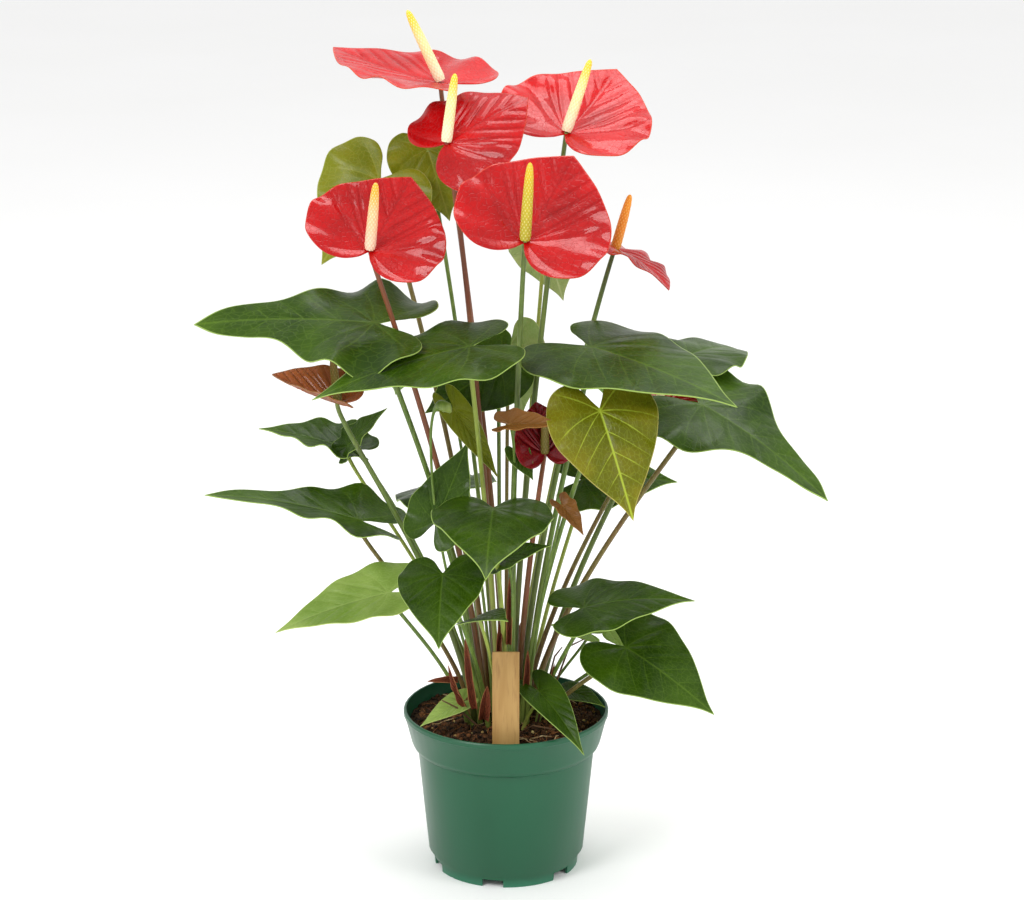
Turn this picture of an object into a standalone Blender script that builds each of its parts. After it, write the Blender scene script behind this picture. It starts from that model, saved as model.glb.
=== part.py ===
"""Potted anthurium: a nursery pot of potting soil with a wooden stake, thirty leaves and nine flowers.

Metres, +Z up. The origin is on the pot's axis, on the surface that the pot stands on.
Every leaf is one closed solid, its blade and its stalk together. Every flower is a stem, a spathe
and a spadix.
"""

import math
from collections import namedtuple

import bmesh
import bpy
import numpy as np
from mathutils import Matrix, Vector

MM = 0.001
GAP = 0.3 * MM

# Pot, a thin moulded shell on six lugs
POT_HEIGHT = 136 * MM
RIM_RADIUS = 85 * MM
BAND_FOOT_HEIGHT = 104 * MM
SHOULDER_RADIUS = 73.5 * MM
HEEL_RADIUS = 64.8 * MM
HEEL_HEIGHT = 14 * MM
FOOT_RADIUS = 60 * MM
FLOOR_HEIGHT = 8 * MM
POT_WALL = 1.6 * MM
LUG_COUNT = 6
LUG_TURN = math.radians(-70.5)
DRAIN_WIDTH = 17.5 * MM
DRAIN_HEIGHT = 6.5 * MM
DRAIN_HOLE_RADIUS = 5 * MM
DRAIN_HOLE_CIRCLE = 44 * MM
POT_STEPS = 48

# Potting soil and the stake stuck in it
SOIL_TOP = 126 * MM
STAKE_SIZE = (22 * MM, 2 * MM, 96 * MM)
STAKE_TOP = (0, -58 * MM, 206 * MM)
STAKE_LEAN = math.radians(6)

# Leaves and flowers
LEAF_THICKNESS = 1.1 * MM
SPATHE_THICKNESS = 1.2 * MM
RING_POINTS = 12
SPATHE_RING_POINTS = 16
STALK_STATIONS = (0.06, 0.18, 0.38, 0.62, 0.82, 1.0)
STEM_POINTS = 11
STEM_RADIUS = 2.2 * MM
SPADIX_RADIUS = 4.4 * MM
WAVES = 2.6

# Half outlines, from the notch at the stalk, round a lobe, to the tip: (lengths along, half widths across)
LEAF_OUTLINE = (
    (-0.03, 0), (-0.11, 0.1), (-0.24, 0.25), (-0.3, 0.5), (-0.21, 0.84),
    (0.05, 1), (0.33, 0.85), (0.62, 0.5), (0.86, 0.14), (1, 0),
)
SPATHE_OUTLINE = (
    (-0.03, 0), (-0.15, 0.1), (-0.26, 0.3), (-0.28, 0.58), (-0.15, 0.88),
    (0.15, 1), (0.46, 0.86), (0.74, 0.52), (0.92, 0.18), (1, 0),
)

# A blade: foot is where its stalk leaves the soil, hub is where the stalk meets it and face is the way its
# upper side looks. Lengths are in millimetres. Fold, curl and twist are in degrees.
Blade = namedtuple(
    "Blade", "name foot hub tip face width arch fold curl wave twist swerve", defaults=(0, 0, 0, 0, 0, 0)
)

LEAVES = (
    Blade("leaf_upper_left", (-17, -3), (-104, -37, 474), (-250, 0, 463), (0, -0.35, 0.93), 116, 9, 4, -22, 8),
    Blade("leaf_mid_left", (-6, -17), (-29, -65, 462), (-150, -95, 427), (-0.1, -0.3, 0.95), 90, 10, 4, -16, 3),
    Blade("leaf_large_right", (16, -9), (68, -31, 453), (177, -130, 431), (0.1, -0.3, 0.95), 120, 8, 4, -20, 2),
    Blade("leaf_far_right", (18, 1), (160, 20, 391), (256, -60, 334), (0.3, -0.65, 0.7), 112, 14, 4, -18, 6, 20),
    Blade("leaf_bronze", (12, -15), (74, -78, 413), (99, -122, 337), (0.05, -0.85, 0.5), 88, 8, 8, -14, 3),
    Blade("leaf_centre", (2, -18), (-10, -80, 334), (-15, -178, 308), (0, -0.35, 0.93), 98, 14, 4, -18, 2),
    Blade("leaf_lower_left", (-14, -22), (-50, -80, 279), (-52, -140, 238), (-0.15, -0.6, 0.8), 72, 8, 6, -12, 2),
    Blade("leaf_left", (-27, 1), (-121, -4, 301), (-246, 8, 318), (-0.05, -0.15, 0.98), 76, 10, 8, 12, 5),
    Blade("leaf_low_left", (-31, -12), (-96, -34, 248), (-187, -40, 216), (-0.35, -0.45, 0.8), 62, 8, 10, 0, 2),
    Blade("leaf_small_left", (-19, 9), (-132, 52, 345), (-206, 72, 356), (0, -0.2, 0.98), 56, 5, 14, 10, 4),
    Blade("leaf_low_right", (26, -12), (63, -52, 242), (153, -42, 244), (0.05, -0.25, 0.95), 74, 10, 6, -16, 2),
    Blade("leaf_lower_right", (31, -10), (98, -34, 201), (168, -74, 158), (0.25, -0.7, 0.65), 84, 8, 6, -12, 2),
    Blade("leaf_behind_right", (30, 12), (96, 26, 180), (152, 22, 168), (0.2, -0.5, 0.85), 56, 8, 6, -10, 2),
    Blade("leaf_over_rim", (14, -27), (27, -45, 167), (63, -94, 131), (-0.1, -0.45, 0.9), 34, 12, 20, 0, 0),
    Blade("leaf_soil_left", (-27, -20), (-36, -30, 152), (-70, -46, 137), (-0.2, -0.5, 0.85), 24, 2, 14, 0, 0),
    Blade("leaf_back_upper_left", (-13, 10), (-103, 70, 566), (-150, 52, 500), (-0.2, -0.85, 0.5), 100, 8, 6, -14, 3),
    Blade("leaf_back_upper", (-8, 17), (-64, 90, 588), (-46, 80, 530), (0, -0.85, 0.4), 70, 8, 6, -14, 3),
    Blade("leaf_back_right", (6, 20), (31, 100, 512), (48, 118, 454), (-0.1, 0.7, 0.3), 62, 6, 6, -12, 3),
    Blade("leaf_dark_centre", (-5, 10), (-6, 10, 427), (-66, 7, 387), (-0.1, -0.95, 0.2), 66, 4, 3, -10, 2),
    Blade("leaf_pale_centre", (0, 20), (4, 50, 434), (14, 58, 372), (0.1, -0.8, 0.4), 56, 8, 6, -12, 2),
    Blade("leaf_young_twisted", (-10, -11), (-41, -24, 399), (-6, -34, 345), (-0.2, -0.6, 0.7), 26, 12, 24, 0, 0),
    Blade("leaf_right_back", (18, 21), (66, 104, 302), (146, 112, 297), (0, -0.5, 0.85), 72, 8, 6, -16, 3),
    Blade("leaf_upright", (-21, -14), (-56, -44, 312), (-30, -34, 376), (-0.3, -0.9, 0.3), 52, -4, 10, 0, 3),
    Blade("leaf_back_low_left", (-12, 25), (-48, 84, 300), (-90, 160, 268), (-0.3, 0.2, 0.9), 84, 12, 6, -16, 3),
    Blade("leaf_small_right", (28, 16), (70, 42, 186), (36, 52, 190), (0, -0.3, 0.95), 26, 3, 10, 0, 0),
    Blade("leaf_under_centre", (-5, -26), (-22, -70, 240), (2, -108, 250), (0.1, -0.4, 0.9), 38, 5, 6, -8, 0),
    Blade("leaf_soil_right", (34, 0), (52, 2, 149), (82, -16, 142), (-0.1, -0.4, 0.9), 22, 6, 10, 0, 0),
    Blade("leaf_right_outer", (15, 12), (152, 84, 416), (206, 150, 400), (0.2, 0.1, 0.95), 88, 12, 6, -16, 3),
    Blade("leaf_back_left", (-16, 19), (-62, 108, 402), (-96, 178, 356), (-0.2, 0.3, 0.9), 92, 14, 6, -16, 3),
    Blade("leaf_back", (10, 25), (62, 112, 404), (88, 180, 352), (0.2, 0.4, 0.9), 92, 14, 6, -16, 3),
)

# A flower: its spathe as a blade, the way its spadix points, and the spadix's length in millimetres
Flower = namedtuple("Flower", "spathe spike length")

FLOWERS = (
    Flower(Blade("1", (0, 0), (-52, 45, 651), (-141, 112, 669), (0.08, -0.1, 1), 112, -6, 4, 10, 3),
           (-0.42, 0, 0.9), 62),
    Flower(Blade("2", (-7, -4), (-46, -18, 614), (18, 4, 646), (0, -0.5, 0.85), 104, 4, -6, -8, 3),
           (0.13, 0, 0.98), 54),
    Flower(Blade("3", (5, 3), (48, 20, 615), (90, 92, 654), (0, -0.5, 0.85), 128, -8, 6, 8, 3),
           (0.3, 0.05, 0.9), 60),
    Flower(Blade("4", (-16, -10), (-105, -60, 538), (-74, -18, 587), (-0.1, -0.85, 0.5), 116, -4, 8, 6, 3),
           (0.1, -0.2, 0.95), 56),
    Flower(Blade("5", (2, -9), (15, -82, 550), (53, -34, 607), (0, -0.75, 0.65), 128, -6, 8, 8, 3),
           (0.06, -0.1, 0.97), 62),
    Flower(Blade("6", (11, 0), (88, 46, 514), (132, 20, 487), (0.4, 0.1, 0.9), 92, 8, 10, -14, 3),
           (0.25, 0, 0.95), 46),
    Flower(Blade("7", (-25, -9), (-134, -30, 407), (-186, -20, 428), (0, -0.15, 0.98), 62, -4, 24, 20, 1),
           (-0.1, 0, 0.97), 38),
    Flower(Blade("8", (9, -7), (31, -54, 372), (24, -40, 410), (0, -0.85, 0.4), 54, -2, 22, 20, 1),
           (0, -0.2, 0.95), 32),
    Flower(Blade("9", (25, 7), (127, 50, 383), (160, 66, 388), (0, -0.4, 0.9), 54, 0, 10, 10, 2),
           (0, 0, 1), 30),
)


def clear_scene():
    """Remove whatever the open file holds."""
    for old in list(bpy.data.objects):
        bpy.data.objects.remove(old)
    for old in list(bpy.data.collections):
        bpy.data.collections.remove(old)


def new_collection(name):
    """A collection in the scene."""
    made = bpy.data.collections.new(name)
    bpy.context.scene.collection.children.link(made)
    return made


def material(name, colour, roughness, metallic=0.0):
    """A plain Principled material, made once for each name."""
    made = bpy.data.materials.get(name)
    if made:
        return made
    made = bpy.data.materials.new(name)
    made.use_nodes = True
    shader = made.node_tree.nodes["Principled BSDF"]
    shader.inputs["Base Color"].default_value = (*colour, 1)
    shader.inputs["Roughness"].default_value = roughness
    shader.inputs["Metallic"].default_value = metallic
    return made


def add_object(name, data, collection, finish):
    """Put a mesh or a curve in the collection, with its material."""
    data.materials.clear()
    data.materials.append(finish)
    made = bpy.data.objects.new(name, data)
    collection.objects.link(made)
    return made


def mesh_from(bm, name):
    """Close a bmesh into a mesh with its faces pointing out."""
    bmesh.ops.recalc_face_normals(bm, faces=bm.faces)
    if bm.calc_volume(signed=True) < 0:
        bmesh.ops.reverse_faces(bm, faces=bm.faces)
    mesh = bpy.data.meshes.new(name)
    bm.to_mesh(mesh)
    bm.free()
    return mesh


def turned(name, profile, steps, collection, finish):
    """Turn a profile of (radius, height) points about Z."""
    mesh = bpy.data.meshes.new(name)
    corners = [(radius, 0, height) for radius, height in profile]
    mesh.from_pydata(corners, [(i, i + 1) for i in range(len(corners) - 1)], [])
    made = add_object(name, mesh, collection, finish)
    screw = made.modifiers.new("Turn", "SCREW")
    screw.steps = steps
    screw.render_steps = steps
    screw.use_merge_vertices = True
    screw.merge_threshold = 0.00001
    screw.use_smooth_shade = True
    return made


def cut(target, cutter):
    """Subtract a cutter, which the build leaves out, from the target."""
    cutter.hide_render = True
    cutter.display_type = "WIRE"
    boolean = target.modifiers.new("Cut", "BOOLEAN")
    boolean.operation = "DIFFERENCE"
    boolean.solver = "EXACT"
    boolean.object = cutter


# ---- pot, soil and stake ----

def pot_inner_wall():
    """The inner wall's (radius, height) points, from the floor up to the rim."""
    return (
        (FOOT_RADIUS + 0.6 * MM, FLOOR_HEIGHT + POT_WALL),
        (HEEL_RADIUS - POT_WALL, HEEL_HEIGHT + 1.5 * MM),
        (SHOULDER_RADIUS - POT_WALL, BAND_FOOT_HEIGHT),
        (SHOULDER_RADIUS + 3.4 * MM, BAND_FOOT_HEIGHT + 5 * MM),
        (RIM_RADIUS - 2.6 * MM, POT_HEIGHT - 5 * MM),
        (RIM_RADIUS - 2.2 * MM, POT_HEIGHT),
    )


def make_pot(collection, cutters):
    """The moulded pot: a tapered wall under a flared rim band, on a ring cut into six lugs."""
    outside = (
        (RIM_RADIUS - 0.8 * MM, POT_HEIGHT),
        (RIM_RADIUS, POT_HEIGHT - 1 * MM),
        (RIM_RADIUS, POT_HEIGHT - 4 * MM),
        (RIM_RADIUS - 1 * MM, POT_HEIGHT - 5 * MM),
        (SHOULDER_RADIUS + 5 * MM, BAND_FOOT_HEIGHT + 5 * MM),
        (SHOULDER_RADIUS + 3.4 * MM, BAND_FOOT_HEIGHT + 1.5 * MM),
        (SHOULDER_RADIUS, BAND_FOOT_HEIGHT - 1 * MM),
        (HEEL_RADIUS, HEEL_HEIGHT),
        (FOOT_RADIUS + 0.6 * MM, FLOOR_HEIGHT),
        (FOOT_RADIUS, 0),
        (FOOT_RADIUS - POT_WALL - 0.4 * MM, 0),
        (FOOT_RADIUS - POT_WALL - 0.4 * MM, FLOOR_HEIGHT),
    )
    profile = ((0, FLOOR_HEIGHT + POT_WALL), *pot_inner_wall(), *outside, (0, FLOOR_HEIGHT))
    plastic = material("pot plastic", (0.03, 0.17, 0.10), 0.45)
    pot = turned("pot", profile, POT_STEPS, collection, plastic)

    bm = bmesh.new()
    for lug in range(LUG_COUNT):
        turn = Matrix.Rotation(LUG_TURN + math.tau * (lug + 0.5) / LUG_COUNT, 4, "Z")
        notch = turn @ Matrix.Translation((FOOT_RADIUS, 0, 0))
        notch = notch @ Matrix.Diagonal((14 * MM, DRAIN_WIDTH, 2 * DRAIN_HEIGHT, 1))
        bmesh.ops.create_cube(bm, size=1, matrix=notch)
        hole = turn @ Matrix.Translation((DRAIN_HOLE_CIRCLE, 0, FLOOR_HEIGHT))
        bmesh.ops.create_cone(
            bm, cap_ends=True, segments=12, radius1=DRAIN_HOLE_RADIUS, radius2=DRAIN_HOLE_RADIUS,
            depth=10 * MM, matrix=hole,
        )
    drains = add_object("drain_cutter", mesh_from(bm, "drain_cutter"), cutters, plastic)
    cut(pot, drains)


def stake_mesh(name, margin):
    """The leaning stake as a bevelled slat, or its socket when a margin is added all round."""
    bm = bmesh.new()
    size = [side + 2 * margin for side in STAKE_SIZE]
    lean = Matrix.Translation(STAKE_TOP) @ Matrix.Rotation(STAKE_LEAN, 4, "X").inverted()
    place = lean @ Matrix.Translation((0, 0, -STAKE_SIZE[2] / 2))
    bmesh.ops.create_cube(bm, size=1, matrix=place @ Matrix.Diagonal((*size, 1)))
    return mesh_from(bm, name)


def make_soil_and_stake(collection, cutters):
    """Potting soil that fills the pot to its fill line, with a socket for the wooden stake."""
    peat = material("potting soil", (0.05, 0.025, 0.015), 0.95)
    inner = pot_inner_wall()
    lower, upper = inner[3], inner[4]
    share = (SOIL_TOP - lower[1]) / (upper[1] - lower[1])
    top_radius = lower[0] + share * (upper[0] - lower[0])
    profile = [(0, SOIL_TOP), (top_radius - 2 * GAP, SOIL_TOP)]
    profile += [(radius - 2 * GAP, height) for radius, height in reversed(inner[:4])]
    profile[-1] = (profile[-1][0], FLOOR_HEIGHT + POT_WALL + GAP)
    profile.append((0, FLOOR_HEIGHT + POT_WALL + GAP))
    soil = turned("potting_soil", profile, POT_STEPS // 2, collection, peat)
    socket = add_object("stake_socket_cutter", stake_mesh("stake_socket_cutter", GAP), cutters, peat)
    cut(soil, socket)
    wood = material("stake wood", (0.62, 0.42, 0.22), 0.6)
    stake = add_object("plant_stake", stake_mesh("plant_stake", 0), collection, wood)
    bevel = stake.modifiers.new("Eased edges", "BEVEL")
    bevel.width = 0.3 * MM
    bevel.segments = 1


# ---- blades and stalks ----

def unit(vector):
    """The vector's direction."""
    vector = np.asarray(vector, float)
    return vector / np.linalg.norm(vector)


def outline_ring(corners, count):
    """Points evenly spaced round a whole outline, smooth through its half outline's corners."""
    p = np.array(corners, float)
    ends = np.vstack([2 * p[0] - p[1], p, 2 * p[-1] - p[-2]])
    t = np.linspace(0, 1, 12, endpoint=False)[:, None]
    spans = []
    for before, start, stop, after in zip(ends, ends[1:], ends[2:], ends[3:]):
        spans.append(
            start + 0.5 * t * (stop - before + t * (
                2 * before - 5 * start + 4 * stop - after + t * (3 * (start - stop) + after - before)))
        )
    dense = np.vstack([*spans, p[-1:]])
    run = np.concatenate([[0], np.cumsum(np.linalg.norm(np.diff(dense, axis=0), axis=1))])
    even = np.linspace(0, run[-1], count // 2 + 1)
    half = np.column_stack([np.interp(even, run, dense[:, axis]) for axis in (0, 1)])
    return np.vstack([half, half[-2:0:-1] * (1, -1)])


def blade_points(blade, flat):
    """Lay flat outline points (lengths along, half widths across) on the bent blade: points and normals."""
    along_share, across_share = flat[:, :1], flat[:, 1:]
    hub, tip = np.array(blade.hub, float) * MM, np.array(blade.tip, float) * MM
    chord = tip - hub
    length = np.linalg.norm(chord)
    along = chord / length
    up = unit(np.array(blade.face) - along * np.dot(blade.face, along))
    across = np.cross(along, up)
    arch, swerve = blade.arch * MM, blade.swerve * MM

    ahead = np.clip(along_share, 0, None)
    rise = 2 * along_share * (1 - ahead)
    spine = hub + along_share * chord + rise * (arch * up + swerve * across)
    slope = 2 * arch * (1 - 2 * ahead) / length
    local_up = (up - slope * along) / np.sqrt(1 + slope ** 2)
    turn = math.radians(blade.twist) * ahead
    side = across * np.cos(turn) + local_up * np.sin(turn)
    local_up = local_up * np.cos(turn) - across * np.sin(turn)

    out = np.abs(across_share)
    hand = np.sign(across_share)
    fold, curl = math.radians(blade.fold), math.radians(blade.curl)
    reach = out * blade.width * MM / 2 * np.sinc(curl * out / 2 / math.pi)
    ripple = blade.wave * MM * out ** 2 * np.sin(math.tau * WAVES * along_share + hand)
    points = spine + side * hand * reach * np.cos(fold + curl * out / 2)
    points = points + local_up * (reach * np.sin(fold + curl * out / 2) + ripple)
    lean = fold + curl * out
    return points, local_up * np.cos(lean) - side * hand * np.sin(lean)


def stalk_path(blade, drop, radius, shares):
    """Points and directions from under the hub (share 0) down to the foot in the soil (share 1)."""
    hub, tip = np.array(blade.hub, float) * MM, np.array(blade.tip, float) * MM
    along = unit(tip - hub)
    up = unit(np.array(blade.face) - along * np.dot(blade.face, along))
    up = unit(up - along * 2 * blade.arch * MM / np.linalg.norm(tip - hub))
    foot = np.array((blade.foot[0] * MM, blade.foot[1] * MM, SOIL_TOP))
    start = hub - up * drop
    lean = 0.14 * (hub - foot) * (1, 1, 0)
    climb = 0.45 * (start[2] - foot[2])
    foot[2] += GAP + radius * np.linalg.norm(lean) / np.hypot(climb, np.linalg.norm(lean))
    knee = start - up * min(20 * MM, 0.6 * climb)
    shin = foot + lean + (0, 0, climb)
    t = np.array(shares)[:, None]
    points = (1 - t) ** 3 * start + 3 * t * (1 - t) ** 2 * knee + 3 * t ** 2 * (1 - t) * shin + t ** 3 * foot
    heads = (1 - t) ** 2 * (knee - start) + 2 * t * (1 - t) * (shin - knee) + t ** 2 * (foot - shin)
    return points, heads / np.linalg.norm(heads, axis=1)[:, None]


def stalk_rings(blade, drop, count):
    """Rings round a leaf's stalk, turned the same way as the blade's own rings, down to the foot."""
    radius = (1.0 + 0.011 * blade.width) * MM
    swell = (1.5, 1.05, 0.95, 0.95, 1.0, 1.1, 1.3)
    points, heads = stalk_path(blade, drop, radius * swell[-1], (0, *STALK_STATIONS))
    along = unit(np.array(blade.tip, float) - blade.hub)
    turn = math.tau * np.arange(count) / count
    rings = []
    for point, head, size in zip(points, heads, swell):
        ahead = unit(along - head * np.dot(along, head))
        beside = np.cross(ahead, -head)
        along = ahead
        rings.append(
            point + radius * size * (np.outer(-np.cos(turn), ahead) + np.outer(np.sin(turn), beside))
        )
    return rings


def loft(name, first, rings, last):
    """A closed skin from a first point, over rings of equal count, to a last point."""
    bm = bmesh.new()
    loops = [[bm.verts.new(point) for point in ring] for ring in rings]
    poles = bm.verts.new(first), bm.verts.new(last)
    for start, stop in zip(loops, loops[1:]):
        for i in range(len(start)):
            bm.faces.new((start[i - 1], start[i], stop[i], stop[i - 1]))
    for pole, loop in zip(poles, (loops[0], loops[-1])):
        for i in range(len(loop)):
            bm.faces.new((loop[i - 1], loop[i], pole))
    mesh = mesh_from(bm, name)
    mesh.shade_smooth()
    return mesh


def make_leaf(blade, collection, finish):
    """One leaf: out over the blade, round its edge, back underneath and down its stalk."""
    edge = outline_ring(LEAF_OUTLINE, RING_POINTS)
    inner, inner_up = blade_points(blade, edge * 0.5)
    rim, rim_up = blade_points(blade, edge)
    hub, _ = blade_points(blade, np.zeros((1, 2)))
    rings = [inner, rim, rim - rim_up * LEAF_THICKNESS, inner - inner_up * LEAF_THICKNESS]
    rings += stalk_rings(blade, 1.4 * LEAF_THICKNESS, RING_POINTS)
    mesh = loft(blade.name, hub[0], rings, rings[-1].mean(axis=0))
    add_object(blade.name, mesh, collection, finish)


def make_spathe(blade, collection, finish):
    """One spathe: a thin cupped heart, closed round its edge."""
    edge = outline_ring(SPATHE_OUTLINE, SPATHE_RING_POINTS)
    centre, centre_up = blade_points(blade, np.zeros((1, 2)))
    top, under = [], []
    for share in (0.35, 0.7, 1):
        ring, ring_up = blade_points(blade, edge * share)
        top.append(ring)
        under.append(ring - ring_up * SPATHE_THICKNESS)
    mesh = loft(blade.name, centre[0], top + under[::-1], centre[0] - centre_up[0] * SPATHE_THICKNESS)
    add_object(f"spathe_{blade.name}", mesh, collection, finish)
    return centre_up[0]


def make_stem(blade, collection, finish):
    """One flower stem: a bare round stalk from the soil to just under the spathe."""
    drop = SPATHE_THICKNESS + 1.2 * MM
    points, _ = stalk_path(blade, drop, 1.3 * STEM_RADIUS, np.linspace(0, 1, STEM_POINTS))
    curve = bpy.data.curves.new(f"stem_{blade.name}", "CURVE")
    curve.dimensions = "3D"
    curve.bevel_depth = STEM_RADIUS
    curve.bevel_resolution = 2
    curve.use_fill_caps = True
    spline = curve.splines.new("POLY")
    spline.points.add(STEM_POINTS - 1)
    for knot, point in zip(spline.points, points):
        knot.co = (*point, 1)
        knot.radius = 0.8 + 0.5 * (blade.hub[2] * MM - point[2]) / (blade.hub[2] * MM)
    add_object(f"stem_{blade.name}", curve, collection, finish)


def make_spadix(flower, up, collection, finish):
    """One spadix: a tapered spike turned about its own axis, stood on the spathe's hub."""
    length = flower.length * MM
    radius = SPADIX_RADIUS * min(1, 0.5 + flower.length / 110)
    shape = (
        (0, 1), (0.32, 0.99), (0.62, 0.94), (0.8, 0.78), (0.95, 0.45), (1, 0.2), (0.9, 0.1), (0.5, 0.03), (0.35, 0),
    )
    profile = [(radius * wide, length * high) for wide, high in shape] + [(0, 0)]
    spadix = turned(f"spadix_{flower.spathe.name}", profile, 12, collection, finish)
    spadix.location = Vector(flower.spathe.hub) * MM + Vector(up) * 2.2 * MM
    spadix.rotation_euler = Vector(flower.spike).to_track_quat("Z", "Y").to_euler()


def main():
    """Build the whole plant."""
    clear_scene()
    plant = new_collection("potted_anthurium")
    cutters = new_collection("cutters")
    make_pot(plant, cutters)
    make_soil_and_stake(plant, cutters)
    leaf_green = material("leaf", (0.03, 0.12, 0.03), 0.35)
    for blade in LEAVES:
        make_leaf(blade, plant, leaf_green)
    spathe_red = material("spathe", (0.55, 0.01, 0.015), 0.2)
    stem_brown = material("flower stem", (0.22, 0.14, 0.05), 0.45)
    spadix_yellow = material("spadix", (0.75, 0.5, 0.12), 0.55)
    for flower in FLOWERS:
        up = make_spathe(flower.spathe, plant, spathe_red)
        make_stem(flower.spathe, plant, stem_brown)
        make_spadix(flower, up, plant, spadix_yellow)


main()
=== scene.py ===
"""Potted anthurium, finished: pot, soil, stake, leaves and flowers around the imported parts.

Metres, +Z up. The origin is on the pot's axis, on the surface that the pot stands on.
"""

import math
import random
from collections import namedtuple

import bmesh
import bpy
import numpy as np
from mathutils import Matrix, Vector, noise


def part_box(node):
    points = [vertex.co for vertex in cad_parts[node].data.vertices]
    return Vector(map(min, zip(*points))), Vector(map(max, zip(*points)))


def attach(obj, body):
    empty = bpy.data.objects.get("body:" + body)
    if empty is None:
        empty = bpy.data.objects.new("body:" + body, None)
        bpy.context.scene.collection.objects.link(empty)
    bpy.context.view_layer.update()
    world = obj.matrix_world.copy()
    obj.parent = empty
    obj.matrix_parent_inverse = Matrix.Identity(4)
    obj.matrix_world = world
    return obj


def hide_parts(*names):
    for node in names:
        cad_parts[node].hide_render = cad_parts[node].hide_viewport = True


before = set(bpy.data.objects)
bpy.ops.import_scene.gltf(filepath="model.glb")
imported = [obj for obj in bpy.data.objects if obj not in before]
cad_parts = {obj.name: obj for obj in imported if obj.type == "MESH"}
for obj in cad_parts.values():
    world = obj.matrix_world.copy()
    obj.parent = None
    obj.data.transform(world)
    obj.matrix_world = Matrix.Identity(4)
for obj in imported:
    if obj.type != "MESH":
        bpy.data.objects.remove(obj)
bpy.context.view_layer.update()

scene = bpy.context.scene
MM = 0.001


# Studio: a wide pale floor under even white light, with three soft lamps: the strongest over the left
# shoulder, one above and a weaker one on the right. A long lens looks slightly down at the whole plant.
def put(tree, kind, *inputs, out=0, **settings):
    """Adds a node, sets it up and feeds its first inputs. A None leaves an input as it is."""
    made = tree.nodes.new(kind)
    for key, value in settings.items():
        setattr(made, key, value)
    for socket, value in zip(made.inputs, inputs):
        if isinstance(value, bpy.types.NodeSocket):
            tree.links.new(value, socket)
        elif value is not None:
            socket.default_value = value
    return made.outputs[out]


def mix(tree, share, first, second):
    """The first colour where share is 0 and the second where it is 1."""
    return put(tree, "ShaderNodeMix", share, *[None] * 5, first, second, data_type="RGBA", out=2)


def rgb(red, green, blue):
    """A linear colour from screen values of 0 to 255."""
    shades = (red, green, blue)
    return tuple(((c / 255 + 0.055) / 1.055) ** 2.4 if c > 10 else c / 3295 for c in shades) + (1,)


def new_material(name, **finish):
    """A Principled material with its constant sockets set, its tree and its shader."""
    material = bpy.data.materials.new(name)
    material.use_nodes = True
    shader = material.node_tree.nodes["Principled BSDF"]
    for label, value in finish.items():
        shader.inputs[label.replace("_", " ").title().replace("Ior", "IOR")].default_value = value
    return material, material.node_tree, shader


def feed(tree, shader, **links):
    for label, socket in links.items():
        tree.links.new(socket, shader.inputs[label.replace("_", " ").title()])


def place(tree, scale=(1, 1, 1)):
    """The piece's own coordinates in metres, stretched for a pattern."""
    where = put(tree, "ShaderNodeTexCoord", out=3)
    return put(tree, "ShaderNodeMapping", where, None, None, scale)


def speckle(tree, where, scale, detail=3.0):
    return put(tree, "ShaderNodeTexNoise", where, None, scale, detail)


def finished(name, bm, materials, smooth=True):
    """Makes the object of a bmesh, in the scene, with its materials."""
    mesh = bpy.data.meshes.new(name)
    bm.to_mesh(mesh)
    bm.free()
    for material in materials:
        mesh.materials.append(material)
    mesh.polygons.foreach_set("use_smooth", [smooth] * len(mesh.polygons))
    piece = bpy.data.objects.new(name, mesh)
    scene.collection.objects.link(piece)
    return piece


floor_finish, tree, shader = new_material("floor_paper", roughness=0.85)
shade = speckle(tree, place(tree), 2.0)
feed(tree, shader, base_color=mix(tree, shade, rgb(250, 250, 249), rgb(254, 254, 254)))
bm = bmesh.new()
bmesh.ops.create_grid(bm, x_segments=8, y_segments=8, size=14)
finished("floor", bm, [floor_finish])

world = bpy.data.worlds.new("studio")
world.use_nodes = True
world.node_tree.nodes["Background"].inputs["Color"].default_value = (1, 1, 1, 1)
world.node_tree.nodes["Background"].inputs["Strength"].default_value = 0.9
scene.world = world
scene.view_settings.view_transform = "Standard"

CAMERA_PITCH = math.radians(16.45)
camera = bpy.data.objects.new("camera", bpy.data.cameras.new("camera"))
camera.data.sensor_width = 36
camera.data.lens = 108.63
camera.location = (0.005, -2.4, 1.067)
camera.rotation_euler = (math.pi / 2 - CAMERA_PITCH, 0, 0)
scene.collection.objects.link(camera)
scene.camera = camera


def soft_lamp(name, location, size, watts):
    """A square lamp that faces the middle of the plant."""
    lamp = bpy.data.objects.new(name, bpy.data.lights.new(name, "AREA"))
    lamp.data.size = size
    lamp.data.energy = watts
    lamp.location = location
    lamp.rotation_euler = (Vector((0, 0, 0.35)) - lamp.location).to_track_quat("-Z", "Y").to_euler()
    scene.collection.objects.link(lamp)


soft_lamp("lamp_left", (-1.3, -1.5, 1.9), 0.9, 28)
soft_lamp("lamp_right", (1.6, -1.0, 1.3), 0.9, 12)
soft_lamp("lamp_top", (0.1, 0.5, 2.2), 1.0, 18)


# Pot: a thin injection-moulded polypropylene nursery pot in teal green. Its rolled rim stands on a slanting
# band and it sits on six lugs. The skin is satin, with faint flow marks from the mould and dust specks, and
# its lowest centimetre is painted lighter as painted bounce light from the floor.
def ease(tree, value, start, stop, low=0.0, high=1.0):
    """Low before start, high after stop, and a smooth step between them."""
    return put(tree, "ShaderNodeMapRange", value, start, stop, low, high, interpolation_type="SMOOTHSTEP")


def bumped(tree, height, depth, normal=None):
    """A normal from a height, depth metres from its lowest to its highest."""
    made = tree.nodes.new("ShaderNodeBump")
    made.inputs["Distance"].default_value = depth
    tree.links.new(height, made.inputs["Height"])
    if normal:
        tree.links.new(normal, made.inputs["Normal"])
    return made.outputs[0]


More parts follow.
